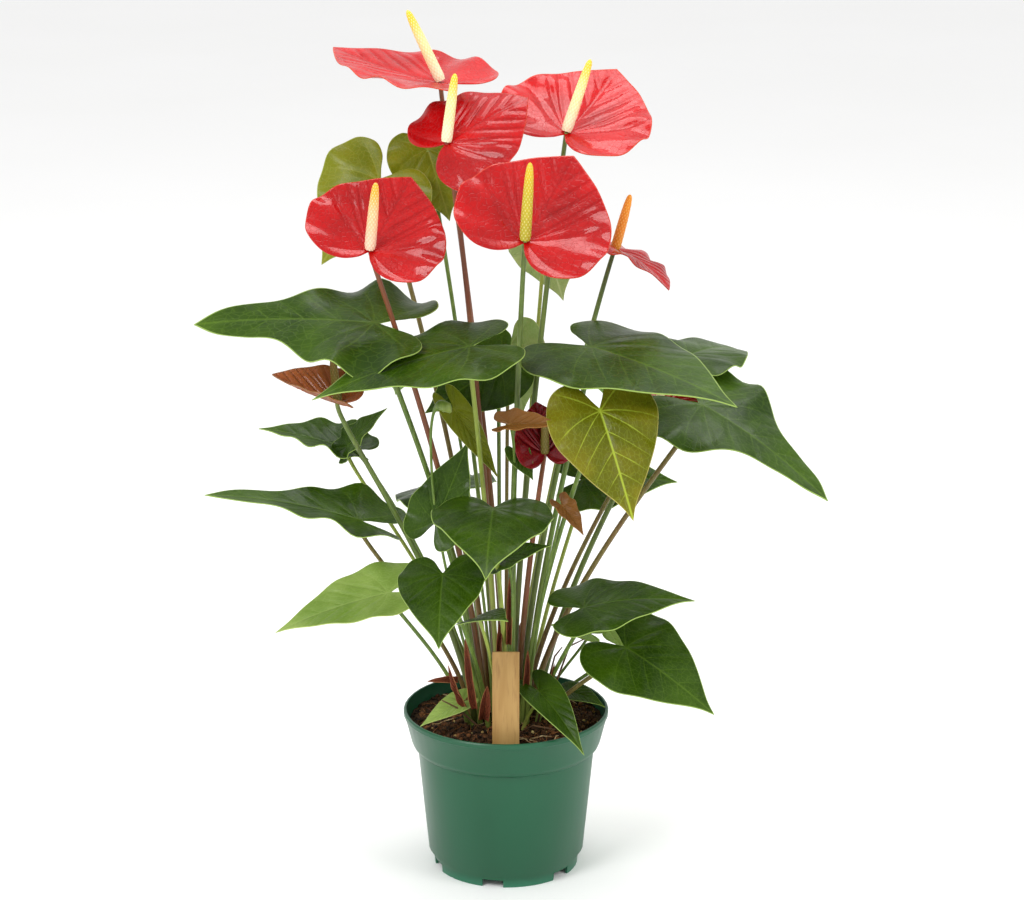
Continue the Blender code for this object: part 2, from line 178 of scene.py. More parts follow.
def merged_copy(node, name, materials, crease):
    """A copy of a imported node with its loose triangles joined, smooth except over its sharp edges."""
    bm = bmesh.new()
    bm.from_mesh(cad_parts[node].data)
    bmesh.ops.remove_doubles(bm, verts=bm.verts, dist=0.01 * MM)
    for edge in bm.edges:
        edge.smooth = edge.calc_face_angle(0) < math.radians(crease)
    for face in bm.faces:
        face.material_index = 0
    piece = finished(name, bm, materials)
    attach(piece, "root")
    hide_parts(node)
    return piece


pot_finish, tree, shader = new_material("pot_plastic", ior=1.5, specular_ior_level=0.4)
where = place(tree)
flow = speckle(tree, place(tree, (9, 9, 1.5)), 2.0, 4.0)
colour = mix(tree, flow, rgb(10, 72, 44), rgb(22, 90, 60))
dust = put(tree, "ShaderNodeTexVoronoi", where, None, 260.0)
speck = ease(tree, dust, 0.05, 0.09, 0.45, 0.0)
colour = mix(tree, speck, colour, rgb(8, 48, 32))
height = put(tree, "ShaderNodeSeparateXYZ", where, out=2)
# Painted bounce light: the lowest centimetre of the pot is painted lighter, as if lit from the white floor.
painted_floor_bounce = ease(tree, height, 0.0, 0.01, 0.35, 0.0)
colour = mix(tree, painted_floor_bounce, colour, rgb(64, 140, 112))
feed(tree, shader, base_color=colour, roughness=ease(tree, flow, 0.3, 0.7, 0.3, 0.42),
     normal=bumped(tree, speckle(tree, where, 900.0, 2.0), 0.05 * MM))
pot = merged_copy("pot", "nursery_pot", [pot_finish], 35)


# Potting soil: dark peat, loose and lumpy on top, pressed against the pot's wall, with broken crumbs, a few
# pale grains, and coir fibres and dead roots lying over it.
SOIL_GRID = 120
SOIL_SKIRT = 16 * MM
LUMP_FREQUENCY = 95
LUMP_HEIGHT = 2.6 * MM
HEAP_HEIGHT = 3 * MM
HEAP_RADIUS = 40 * MM
SOIL_SINK = 1.5 * MM
soil_low, soil_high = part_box("potting_soil")
soil_radius = (soil_high.x - soil_low.x) / 2 - 0.2 * MM
SOIL_TOP = 0.126


def soil_height(x, y):
    """How high the lumpy surface is at a place, a little lower than the rim and heaped round the stalks."""
    lumps = noise.fractal(Vector((x, y, 0)) * LUMP_FREQUENCY, 1.0, 2.0, 4) * LUMP_HEIGHT
    heap = HEAP_HEIGHT * math.exp(-(x * x + y * y) / HEAP_RADIUS ** 2)
    return SOIL_TOP + lumps + heap - SOIL_SINK


soil_finish, tree, shader = new_material("potting_soil", roughness=0.95, specular_ior_level=0.2)
where = place(tree)
coarse, fine = speckle(tree, where, 120.0, 4.0), speckle(tree, where, 700.0, 4.0)
colour = mix(tree, ease(tree, coarse, 0.35, 0.7), rgb(30, 20, 13), rgb(72, 48, 28))
colour = mix(tree, ease(tree, fine, 0.55, 0.75), colour, rgb(104, 76, 48))
rough = bumped(tree, coarse, 2 * MM)
feed(tree, shader, base_color=colour, normal=bumped(tree, fine, 0.6 * MM, rough))

bm = bmesh.new()
bmesh.ops.create_grid(bm, x_segments=SOIL_GRID, y_segments=SOIL_GRID, size=1)
for vertex in bm.verts:
    x, y = vertex.co.x, vertex.co.y
    stretch = max(abs(x), abs(y)) / max(math.hypot(x, y), 1e-9)
    x, y = x * stretch * soil_radius, y * stretch * soil_radius
    vertex.co = (x, y, soil_height(x, y))
rim = [edge for edge in bm.edges if edge.is_boundary]
skirt = bmesh.ops.extrude_edge_only(bm, edges=rim)["geom"]
skirt_verts = [part for part in skirt if isinstance(part, bmesh.types.BMVert)]
for vertex in skirt_verts:
    vertex.co = (vertex.co.x * 0.97, vertex.co.y * 0.97, SOIL_TOP - SOIL_SKIRT)
bmesh.ops.edgeloop_fill(bm, edges=[edge for edge in bm.edges if edge.is_boundary])
bmesh.ops.recalc_face_normals(bm, faces=bm.faces)
soil = finished("potting_soil_surface", bm, [soil_finish])
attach(soil, "root")
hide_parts("potting_soil")

soil_random = random.Random(7)


def scattered_place(radius):
    """A random place on the soil, as the lowest point of something that lies there."""
    turn, reach = soil_random.uniform(0, math.tau), radius * math.sqrt(soil_random.random())
    x, y = reach * math.cos(turn), reach * math.sin(turn)
    return Vector((x, y, soil_height(x, y)))


def crumbs(name, count, sizes, colours):
    """Broken grains strewn over the soil, each an uneven lump of twenty faces."""
    material, tree, shader = new_material(name, roughness=0.9, specular_ior_level=0.25)
    tone = speckle(tree, place(tree), 180.0)
    feed(tree, shader, base_color=mix(tree, ease(tree, tone, 0.35, 0.65), *colours),
         normal=bumped(tree, speckle(tree, place(tree), 1500.0), 0.3 * MM))
    bm = bmesh.new()
    for _ in range(count):
        size = soil_random.uniform(*sizes) * MM
        spot = scattered_place(soil_radius - 3 * MM) + Vector((0, 0, size * 0.4))
        stretch = [size * soil_random.uniform(0.6, 1.3) for _ in range(3)]
        turn = Matrix.Rotation(soil_random.uniform(0, math.tau), 4, Vector((0.3, 0.5, 0.8)))
        lump = bmesh.ops.create_icosphere(bm, subdivisions=1, radius=1)["verts"]
        bmesh.ops.scale(bm, vec=stretch, verts=lump)
        bmesh.ops.transform(bm, matrix=Matrix.Translation(spot) @ turn, verts=lump)
    piece = finished(name, bm, [material], smooth=False)
    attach(piece, "root")


crumbs("peat_crumbs", 1500, (0.6, 2.2), (rgb(26, 17, 11), rgb(86, 56, 32)))
crumbs("bark_crumbs", 160, (1.2, 3.2), (rgb(64, 38, 20), rgb(122, 78, 44)))
crumbs("pale_crumbs", 90, (0.6, 1.5), (rgb(150, 120, 66), rgb(206, 184, 124)))


def unit(vector):
    return np.array(vector, float) / np.linalg.norm(vector)


def add_tube(bm, centres, radii, sides):
    """Sweeps a ring along a path and closes both ends, with a flat map of its turn and run."""
    heads = np.gradient(np.array(centres), axis=0)
    heads /= np.linalg.norm(heads, axis=1)[:, None]
    side = unit(np.cross(heads[0], (0.31, 0.87, 0.37)))
    frames = []
    for head in heads:
        side = unit(side - head * np.dot(side, head))
        frames.append((side, np.cross(head, side)))
    flat, share = bm.loops.layers.uv.verify(), bm.verts.layers.float.get("share")
    last = len(centres) - 1
    verts = bmesh.ops.create_grid(bm, x_segments=sides, y_segments=last, size=1)["verts"]
    faces = {face for vertex in verts for face in vertex.link_faces}
    for face in faces:
        for loop in face.loops:
            loop[flat].uv = ((loop.vert.co.x + 1) / 2, (loop.vert.co.y + 1) / 2)
    for vertex in verts:
        place_along = round((vertex.co.y + 1) / 2 * last)
        turn = math.pi * vertex.co.x
        first, second = frames[place_along]
        offset = first * math.cos(turn) + second * math.sin(turn)
        if share:
            vertex[share] = place_along / last
        vertex.co = centres[place_along] + radii[place_along] * offset
    bmesh.ops.remove_doubles(bm, verts=verts, dist=0.0005 * MM)
    rims = {edge for face in faces if face.is_valid for edge in face.edges if edge.is_boundary}
    bmesh.ops.edgeloop_fill(bm, edges=list(rims))


def fibres(name, count, lengths, thickness, colours):
    """Thin bent strands that lie on the soil."""
    material, tree, shader = new_material(name, roughness=0.8)
    tone = speckle(tree, place(tree), 300.0)
    feed(tree, shader, base_color=mix(tree, ease(tree, tone, 0.35, 0.65), *colours))
    bm = bmesh.new()
    for _ in range(count):
        start = scattered_place(soil_radius - 12 * MM)
        turn = soil_random.uniform(0, math.tau)
        bend = soil_random.uniform(-1.4, 1.4)
        step = soil_random.uniform(*lengths) * MM / 5
        path = []
        for number in range(6):
            heading = turn + bend * number / 5
            start = start + step * Vector((math.cos(heading), math.sin(heading), 0))
            start *= min(1, (soil_radius - 4 * MM) / math.hypot(start.x, start.y)) if number else 1
            lift = 0.9 * MM + 1.2 * MM * math.sin(math.pi * number / 5)
            path.append((start.x, start.y, soil_height(start.x, start.y) + lift))
        add_tube(bm, np.array(path), [thickness * MM * s for s in (0.6, 1, 1, 0.9, 0.7, 0.4)], 4)
    bmesh.ops.recalc_face_normals(bm, faces=bm.faces)
    piece = finished(name, bm, [material])
    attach(piece, "root")


fibres("coir_fibres", 190, (6, 22), 0.22, (rgb(120, 66, 30), rgb(168, 108, 56)))
fibres("dead_roots", 22, (14, 34), 0.55, (rgb(172, 140, 96), rgb(214, 190, 148)))


# Stake: a flat strip of untreated birch, sawn, sanded and pushed into the soil, with its corners eased and
# fine straight grain up its length. Its face is left bare.
stake_finish, tree, shader = new_material("stake_birch", roughness=0.6, ior=1.45)
grain = speckle(tree, place(tree, (520, 520, 14)), 1.0, 5.0)
bands = speckle(tree, place(tree, (130, 130, 5)), 1.0, 2.0)
colour = mix(tree, ease(tree, bands, 0.3, 0.7), rgb(178, 142, 84), rgb(160, 122, 66))
colour = mix(tree, ease(tree, grain, 0.5, 0.75, 0.0, 0.5), colour, rgb(128, 88, 46))
feed(tree, shader, base_color=colour, normal=bumped(tree, grain, 0.12 * MM))
stake = merged_copy("plant_stake", "birch_stake", [stake_finish], 30)
edges = stake.modifiers.new("eased_edges", "BEVEL")
edges.width, edges.segments, edges.limit_method = 0.45 * MM, 3, "ANGLE"


# Leaves: leathery heart-shaped blades on long stalks that all rise from one crown. A stalk ends in a swollen
# knee at the notch of its blade. The upper side is waxy, with sunken veins and a thin pale margin.
LEAF_THICKNESS = 0.7 * MM
WAVES = 2.6

# Half outline, from the notch at the stalk, round a lobe, to the tip: (lengths along, half widths across)
LEAF_OUTLINE = (
    (-0.03, 0), (-0.11, 0.1), (-0.24, 0.25), (-0.3, 0.5), (-0.21, 0.84),
    (0.05, 1), (0.33, 0.85), (0.62, 0.5), (0.86, 0.14), (1, 0),
)

# The same for a leaf that narrows early to a long waist
WAISTED_OUTLINE = (
    (-0.03, 0), (-0.11, 0.1), (-0.24, 0.25), (-0.3, 0.52), (-0.2, 0.86),
    (0.04, 1), (0.26, 0.8), (0.48, 0.42), (0.68, 0.3), (0.86, 0.2), (1, 0),
)
WAISTED = ("upper_left", "left", "far_right")

# A blade: foot is where its stalk leaves the soil, hub is where the stalk meets it and face is the way its
# upper side looks. Lengths are in millimetres. Fold, curl and twist are in degrees.
Blade = namedtuple(
    "Blade", "name foot hub tip face width arch fold curl wave twist swerve", defaults=(0, 0, 0, 0, 0, 0)
)

LEAVES = (
    Blade("upper_left", (-17, -3), (-104, -37, 474), (-250, 0, 463), (0, -0.35, 0.93),
          116, 9, 4, -22, 10, 25),
    Blade("mid_left", (-6, -17), (-29, -65, 462), (-150, -95, 427), (-0.1, -0.3, 0.95), 90, 10, 4, -16, 3),
    Blade("large_right", (16, -9), (68, -31, 453), (177, -130, 431), (0.1, -0.3, 0.95), 120, 8, 4, -20, 2),
    Blade("far_right", (18, 1), (160, 20, 391), (256, -60, 334), (0.3, -0.65, 0.7), 112, 14, 4, -18, 6, 20),
    Blade("bronze", (12, -15), (74, -78, 413), (99, -122, 337), (0.05, -0.85, 0.5), 88, 8, 8, -14, 3),
    Blade("centre", (2, -18), (-10, -80, 334), (-15, -178, 308), (0, -0.35, 0.93), 98, 14, 4, -18, 2),
    Blade("lower_left", (-14, -22), (-50, -80, 279), (-52, -140, 238), (-0.15, -0.6, 0.8), 72, 8, 6, -12, 2),
    Blade("left", (-27, 1), (-121, -4, 301), (-246, 8, 318), (-0.05, -0.15, 0.98), 76, 10, 8, 12, 5),
    Blade("low_left", (-31, -12), (-96, -34, 248), (-187, -40, 216), (-0.35, -0.45, 0.8), 62, 8, 10, 0, 2),
    Blade("small_left", (-19, 9), (-132, 52, 345), (-206, 72, 356), (0, -0.2, 0.98), 56, 5, 14, 10, 4),
    Blade("low_right", (26, -12), (63, -52, 242), (153, -42, 244), (0.05, -0.25, 0.95), 74, 10, 6, -16, 2),
    Blade("lower_right", (31, -10), (98, -34, 201), (168, -74, 158), (0.25, -0.7, 0.65), 84, 8, 6, -12, 2),
    Blade("behind_right", (30, 12), (96, 26, 180), (152, 22, 168), (0.2, -0.5, 0.85), 56, 8, 6, -10, 2),
    Blade("over_rim", (14, -27), (27, -45, 167), (63, -94, 131), (-0.1, -0.45, 0.9), 34, 12, 20, 0, 0),
    Blade("soil_left", (-27, -20), (-36, -30, 152), (-70, -46, 137), (-0.2, -0.5, 0.85), 24, 2, 14, 0, 0),
    Blade("back_upper_left", (-13, 10), (-103, 70, 566), (-150, 52, 500), (-0.2, -0.85, 0.5),
          100, 8, 6, -14, 3),
    Blade("back_upper", (-8, 17), (-64, 90, 588), (-46, 80, 530), (0, -0.85, 0.4), 70, 8, 6, -14, 3),
    Blade("back_right", (6, 20), (31, 100, 512), (48, 118, 454), (-0.1, 0.7, 0.3), 62, 6, 6, -12, 3),
    Blade("dark_centre", (-5, 10), (-6, 10, 427), (-66, 7, 387), (-0.1, -0.95, 0.2), 66, 4, 3, -10, 2),
    Blade("pale_centre", (0, 20), (4, 50, 434), (14, 58, 372), (0.1, -0.8, 0.4), 56, 8, 6, -12, 2),
    Blade("young_twisted", (-10, -11), (-41, -24, 399), (-6, -34, 345), (-0.2, -0.6, 0.7), 26, 12, 24, 0, 0),
    Blade("right_back", (18, 21), (66, 104, 302), (146, 112, 297), (0, -0.5, 0.85), 72, 8, 6, -16, 3),
    Blade("upright", (-21, -14), (-56, -44, 312), (-30, -34, 376), (-0.3, -0.9, 0.3), 52, -4, 10, 0, 3),
    Blade("back_low_left", (-12, 25), (-48, 84, 300), (-90, 160, 268), (-0.3, 0.2, 0.9), 84, 12, 6, -16, 3),
    Blade("small_right", (28, 16), (70, 42, 186), (36, 52, 190), (0, -0.3, 0.95), 26, 3, 10, 0, 0),
    Blade("under_centre", (-5, -26), (-22, -70, 240), (2, -108, 250), (0.1, -0.4, 0.9), 38, 5, 6, -8, 0),
    Blade("soil_right", (34, 0), (52, 2, 149), (82, -16, 142), (-0.1, -0.4, 0.9), 22, 6, 10, 0, 0),
    Blade("right_outer", (15, 12), (152, 84, 416), (206, 150, 400), (0.2, 0.1, 0.95), 88, 12, 6, -16, 3),
    Blade("back_left", (-16, 19), (-62, 108, 402), (-96, 178, 356), (-0.2, 0.3, 0.9), 92, 14, 6, -16, 3),
    Blade("back", (10, 25), (62, 112, 404), (88, 180, 352), (0.2, 0.4, 0.9), 92, 14, 6, -16, 3),
)

# Where the side veins lie: they leave the rib every spacing, lean towards the tip and bend further, and
# below the hub they fan out into the lobes, an angle of fan apart
Veins = namedtuple("Veins", "lean bend spacing fan")
LEAF_VEINS = Veins(0.42, 0.16, 0.19, 0.42)
SPATHE_VEINS = Veins(0.95, 0.3, 0.22, 0.36)

# The blade's flat map: how tall it is in lengths, and how far it starts below the hub
UV_TALL = 1.4
UV_DROP = 0.35

RIM_CROWDING = 1.25
PILLOW_REACH = 0.07
RIM_FADE = 0.15


def dense_outline(corners):
    """A smooth curve through a half outline."""
    p = np.array(corners, float)
    ends = np.vstack([2 * p[0] - p[1], p, 2 * p[-1] - p[-2]])
    t = np.linspace(0, 1, 12, endpoint=False)[:, None]
    spans = []
    for before, start, stop, after in zip(ends, ends[1:], ends[2:], ends[3:]):
        spans.append(start + 0.5 * t * (stop - before + t * (
            2 * before - 5 * start + 4 * stop - after + t * (3 * (start - stop) + after - before))))
    return np.vstack([*spans, p[-1:]])


def outline_at(corners, turns):
    """Points on the whole outline, evenly spaced round it, where a turn of 0 or 1 is the notch."""
    dense = dense_outline(corners)
    run = np.concatenate([[0], np.cumsum(np.linalg.norm(np.diff(dense, axis=0), axis=1))])
    run /= run[-1]
    half = 1 - np.abs(1 - 2 * turns)
    hand = np.where(turns > 0.5, -1, 1)
    return np.column_stack([np.interp(half, run, dense[:, 0]), hand * np.interp(half, run, dense[:, 1])])


def blade_points(blade, flat):
    """Where points of the flat blade lie, and the way its upper side looks there."""
    along_share, across_share = flat[:, :1], flat[:, 1:]
    hub, tip = np.array(blade.hub, float) * MM, np.array(blade.tip, float) * MM
    chord = tip - hub
    length = np.linalg.norm(chord)
    along = chord / length
    up = unit(np.array(blade.face) - along * np.dot(blade.face, along))
    across = np.cross(along, up)
    arch, swerve = blade.arch * MM, blade.swerve * MM
    ahead = np.clip(along_share, 0, None)
    rise = 2 * along_share * (1 - ahead)
    spine = hub + along_share * chord + rise * (arch * up + swerve * across)
    slope = 2 * arch * (1 - 2 * ahead) / length
    local_up = (up - slope * along) / np.sqrt(1 + slope ** 2)
    turn = math.radians(blade.twist) * ahead
    side = across * np.cos(turn) + local_up * np.sin(turn)
    local_up = local_up * np.cos(turn) - across * np.sin(turn)
    out, hand = np.abs(across_share), np.sign(across_share)
    fold, curl = math.radians(blade.fold), math.radians(blade.curl)
    reach = out * blade.width * MM / 2 * np.sinc(curl * out / 2 / math.pi)
    ripple = blade.wave * MM * out ** 2 * np.sin(math.tau * WAVES * along_share + hand)
    points = spine + side * hand * reach * np.cos(fold + curl * out / 2)
    points = points + local_up * (reach * np.sin(fold + curl * out / 2) + ripple)
    lean = fold + curl * out
    return points, local_up * np.cos(lean) - side * hand * np.sin(lean)


def vein_distance(flat, veins):
    """How far points of a flat blade are from the nearest vein, in lengths of the blade."""
    along, across = flat[:, 0], np.abs(flat[:, 1])
    climb = along - veins.lean * across - veins.bend * across ** 2
    rows = np.abs((climb / veins.spacing + 0.5) % 1 - 0.5) * veins.spacing
    angle = np.arctan2(-climb, 0.8 * across)
    fans = np.abs((angle / veins.fan + 0.5) % 1 - 0.5) * veins.fan * np.hypot(climb, 0.8 * across)
    return np.minimum(np.where(climb > 0, rows, fans), across / 2)


def add_blade(bm, blade, outline, veins, around, rings, relief):
    """Lays a heart-shaped grid over the blade's surface, with the veins pressed into it."""
    flat_map, share = bm.loops.layers.uv.verify(), bm.verts.layers.float["share"]
    verts = bmesh.ops.create_grid(bm, x_segments=around, y_segments=rings, size=1)["verts"]
    square = np.array([vertex.co for vertex in verts])
    ring = 1 - (1 - (square[:, 1] + 1) / 2) ** RIM_CROWDING
    flat = outline_at(outline, (square[:, 0] + 1) / 2) * ring[:, None]
    points, normals = blade_points(blade, flat)
    swell = np.clip(vein_distance(flat, veins) / PILLOW_REACH, 0, 1)
    swell = swell * (2 - swell) * np.clip((1 - ring) / RIM_FADE, 0, 1)
    points = points + normals * (relief * MM * (swell - 0.5))[:, None]
    for vertex, ring_share, spot, point in zip(verts, ring, flat, points):
        vertex[share] = ring_share
        for loop in vertex.link_loops:
            loop[flat_map].uv = (0.5 + spot[1] / 2, (spot[0] + UV_DROP) / UV_TALL)
        vertex.co = point
    faces = list({face for vertex in verts for face in vertex.link_faces})
    bmesh.ops.remove_doubles(bm, verts=verts, dist=0.0005 * MM)
    faces = [face for face in faces if face.is_valid]
    bmesh.ops.recalc_face_normals(bm, faces=faces)
    facing = sum((face.normal * face.calc_area() for face in faces), Vector())
    if facing.dot(Vector(blade.face)) < 0:
        bmesh.ops.reverse_faces(bm, faces=faces)


def blade_piece(name, blade, outline, finishes, thickness, relief, around=128, rings=20, veins=LEAF_VEINS):
    """A blade with its underside a thickness below it, the underside in the second material."""
    bm = bmesh.new()
    bm.loops.layers.uv.new("flat")
    bm.verts.layers.float.new("share")
    add_blade(bm, blade, outline, veins, around, rings, relief)
    piece = finished(name, bm, finishes)
    shell = piece.modifiers.new("thickness", "SOLIDIFY")
    shell.thickness, shell.offset, shell.material_offset = thickness, -1, 1
    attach(piece, "root")
    return piece


def stalk_path(blade, drop, shares):
    """Points on the curve from the hub's underside to the foot in the soil."""
    hub, tip = np.array(blade.hub, float) * MM, np.array(blade.tip, float) * MM
    along = unit(tip - hub)
    up = unit(np.array(blade.face) - along * np.dot(blade.face, along))
    up = unit(up - along * 2 * blade.arch * MM / np.linalg.norm(tip - hub))
    foot = np.array((blade.foot[0] * MM, blade.foot[1] * MM, SOIL_TOP))
    start = hub - up * drop
    lean = STALK_LEAN * (hub - foot) * (1, 1, 0)
    climb = STALK_CLIMB * (start[2] - foot[2])
    foot[2] -= STALK_DEPTH
    knee = start - up * min(KNEE_REACH, 0.6 * climb)
    shin = foot + lean + (0, 0, climb)
    t = np.array(shares)[:, None]
    return (1 - t) ** 3 * start + 3 * t * (1 - t) ** 2 * knee + 3 * t ** 2 * (1 - t) * shin + t ** 3 * foot


STALK_STEPS = 40
STALK_SIDES = 14
KNEE_CROWDING = 1.15
KNEE_REACH = 20 * MM
STALK_LEAN = 0.14
STALK_CLIMB = 0.45
STALK_DEPTH = 2 * MM
stalk_shares = np.linspace(0, 1, STALK_STEPS) ** KNEE_CROWDING


def stalk_piece(name, blade, finish, radius, swells, drop=0.3 * MM):
    """A round stalk whose thickness swells at the knee and at the foot."""
    bm = bmesh.new()
    bm.loops.layers.uv.new("flat")
    bm.verts.layers.float.new("share")
    path = stalk_path(blade, drop, stalk_shares)
    places, factors = zip(*swells)
    add_tube(bm, path, radius * np.interp(stalk_shares, places, factors), STALK_SIDES)
    bmesh.ops.recalc_face_normals(bm, faces=bm.faces)
    piece = finished(name, bm, [finish])
    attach(piece, "root")
    return piece


def calc(tree, operation, *inputs):
    return put(tree, "ShaderNodeMath", *inputs, operation=operation)


def vein_group(name, veins):
    """Where the veins, the margin and the net between the veins lie on a blade, from its own flat map."""
    tree = bpy.data.node_groups.new(name, "ShaderNodeTree")
    for label in ("Vein", "Margin", "Net", "Pillow", "Tip"):
        tree.interface.new_socket(label, in_out="OUTPUT", socket_type="NodeSocketFloat")
    flat = put(tree, "ShaderNodeUVMap", uv_map="flat")
    u = put(tree, "ShaderNodeSeparateXYZ", flat, out=0)
    v = put(tree, "ShaderNodeSeparateXYZ", flat, out=1)
    across = calc(tree, "ABSOLUTE", calc(tree, "MULTIPLY_ADD", u, 2.0, -1.0))
    along = calc(tree, "MULTIPLY_ADD", v, UV_TALL, -UV_DROP)
    bend = calc(tree, "MULTIPLY", calc(tree, "MULTIPLY", across, across), veins.bend)
    climb = calc(tree, "SUBTRACT", calc(tree, "MULTIPLY_ADD", across, -veins.lean, along), bend)
    rows = calc(tree, "PINGPONG", climb, veins.spacing / 2)
    wide = calc(tree, "MULTIPLY", across, 0.8)
    angle = calc(tree, "ARCTAN2", calc(tree, "MULTIPLY", climb, -1.0), wide)
    reach = calc(tree, "SQRT", calc(tree, "MULTIPLY_ADD", climb, climb, calc(tree, "MULTIPLY", wide, wide)))
    fans = calc(tree, "MULTIPLY", calc(tree, "PINGPONG", angle, veins.fan / 2), reach)
    ahead = calc(tree, "GREATER_THAN", climb, 0.0)
    side = calc(tree, "MULTIPLY_ADD", ahead, calc(tree, "SUBTRACT", rows, fans), fans)
    wobble = calc(tree, "MULTIPLY_ADD", speckle(tree, flat, 9.0), 0.016, -0.008)
    side = calc(tree, "ABSOLUTE", calc(tree, "ADD", side, wobble))
    rib = calc(tree, "MULTIPLY", across, 0.5)
    side_vein = ease(tree, side, 0.001, 0.009, 0.75, 0.0)
    rib_vein = ease(tree, rib, 0.003, 0.014, 1.0, 0.0)
    share = put(tree, "ShaderNodeAttribute", attribute_name="share", out=2)
    fade = ease(tree, share, 0.6, 0.98, 1.0, 0.25)
    vein = calc(tree, "MAXIMUM", calc(tree, "MULTIPLY", side_vein, fade), rib_vein)
    cells = put(tree, "ShaderNodeTexVoronoi", flat, None, 26.0, feature="DISTANCE_TO_EDGE")
    outputs = tree.nodes.new("NodeGroupOutput")
    results = (vein, ease(tree, share, 0.984, 0.994), ease(tree, cells, 0.0, 0.09, 1.0, 0.0),
               ease(tree, calc(tree, "MINIMUM", side, rib), 0.0, 0.06), ease(tree, along, 0.55, 1.0))
    for result, socket in zip(results, outputs.inputs):
        tree.links.new(result, socket)
    return tree


leaf_veins = vein_group("leaf_veins", LEAF_VEINS)
spathe_veins = vein_group("spathe_veins", SPATHE_VEINS)


def blade_finish(name, dark, light, vein, margin, vein_share, depth, layout=leaf_veins, tip_share=0.25,
                 net_share=0.12, **finish):
    """A leaf's or a spathe's skin: two tones, lighter veins and net, and a pale margin."""
    material, tree, shader = new_material(name, **finish)
    veins = tree.nodes.new("ShaderNodeGroup")
    veins.node_tree = layout
    out = veins.outputs
    where = place(tree)
    tone = ease(tree, speckle(tree, where, 24.0, 4.0), 0.3, 0.7)
    tone = calc(tree, "MULTIPLY_ADD", out["Tip"], tip_share, calc(tree, "MULTIPLY", tone, 1 - tip_share))
    colour = mix(tree, tone, dark, light)
    colour = mix(tree, calc(tree, "MULTIPLY", out["Net"], net_share), colour, vein)
    colour = mix(tree, calc(tree, "MULTIPLY", out["Vein"], vein_share), colour, vein)
    colour = mix(tree, out["Margin"], colour, margin)
    dull = finish["roughness"]
    shine = ease(tree, speckle(tree, where, 60.0), 0.3, 0.7, dull - 0.05, dull + 0.07)
    relief = calc(tree, "MULTIPLY_ADD", out["Net"], -0.25, out["Pillow"])
    relief = calc(tree, "MULTIPLY_ADD", speckle(tree, where, 90.0), 0.5, relief)
    feed(tree, shader, base_color=colour, roughness=shine, normal=bumped(tree, relief, depth * MM))
    return material


def mix_colours(first, second, share):
    """A colour a share of the way from the first to the second."""
    return tuple(a + (b - a) * share for a, b in zip(first, second))


def leaf_finishes(name, dark, light, vein, margin, under, vein_share=0.22, roughness=0.34):
    """The waxy upper side and the paler, duller underside."""
    return (
        blade_finish(name, dark, light, vein, margin, vein_share, 0.3, roughness=roughness, ior=1.4,
                     specular_ior_level=0.22, coat_weight=0.06, coat_roughness=0.12),
        blade_finish(name + "_underside", under, mix_colours(under, vein, 0.3), vein, margin, 0.6, 0.4,
                     roughness=0.45, ior=1.4, specular_ior_level=0.2),
    )


green_finishes = leaf_finishes(
    "leaf_green", rgb(32, 56, 0), rgb(60, 88, 8), rgb(108, 140, 44), rgb(150, 176, 88), rgb(96, 130, 56))
olive_finishes = leaf_finishes(
    "leaf_olive", rgb(92, 104, 8), rgb(126, 130, 22), rgb(176, 178, 84), rgb(158, 166, 84), rgb(132, 146, 70))
# A pale leaf colour, which on the pale_centre leaf is painted backlight: the yellow glow of light shining
# through a hanging leaf.
pale_and_painted_backlight_finishes = leaf_finishes(
    "leaf_pale", rgb(120, 146, 74), rgb(156, 172, 104), rgb(196, 206, 150), rgb(176, 190, 120),
    rgb(150, 170, 100))
bronze_finishes = leaf_finishes(
    "leaf_bronze", rgb(88, 92, 8), rgb(122, 114, 22), rgb(170, 188, 60), rgb(170, 160, 80), rgb(130, 120, 60),
    vein_share=0.75, roughness=0.26)
bright_finishes = leaf_finishes(
    "leaf_bright", rgb(108, 136, 52), rgb(150, 172, 90), rgb(174, 194, 116), rgb(176, 194, 110),
    rgb(126, 156, 76))

# Leaves that aren't plain green, with their finishes and a slot name
YELLOW_GREEN = ("low_left", "small_right", "soil_left", "behind_right")
LEAF_LOOKS = {
    **dict.fromkeys(YELLOW_GREEN, (bright_finishes, "leaf_green")),
    **dict.fromkeys(("back_upper_left", "back_upper", "young_twisted"), (olive_finishes, "leaf_olive")),
    # On pale_centre this pale colour is painted backlight.
    **dict.fromkeys(("back_right", "pale_centre"), (pale_and_painted_backlight_finishes, "leaf_pale")),
    "bronze": (bronze_finishes, "leaf_bronze"),
}


def stalk_finish(name, top, middle, foot, blush):
    """A stalk's skin: one colour at the knee, another along it and a third at the foot, with fine streaks."""
    material, tree, shader = new_material(name, roughness=0.38, ior=1.42)
    share = put(tree, "ShaderNodeAttribute", attribute_name="share", out=2)
    where = place(tree, (600, 600, 40))
    streak = ease(tree, speckle(tree, where, 1.0), 0.4, 0.7)
    colour = mix(tree, ease(tree, share, 0.0, 0.1), top, middle)
    colour = mix(tree, ease(tree, share, 0.6, 1.0), colour, foot)
    patch = ease(tree, speckle(tree, place(tree), 30.0), 0.45, 0.75, 0.0, 0.6)
    colour = mix(tree, calc(tree, "MULTIPLY", streak, 0.35), mix(tree, patch, colour, blush), top)
    feed(tree, shader, base_color=colour, normal=bumped(tree, streak, 0.12 * MM))
    return material


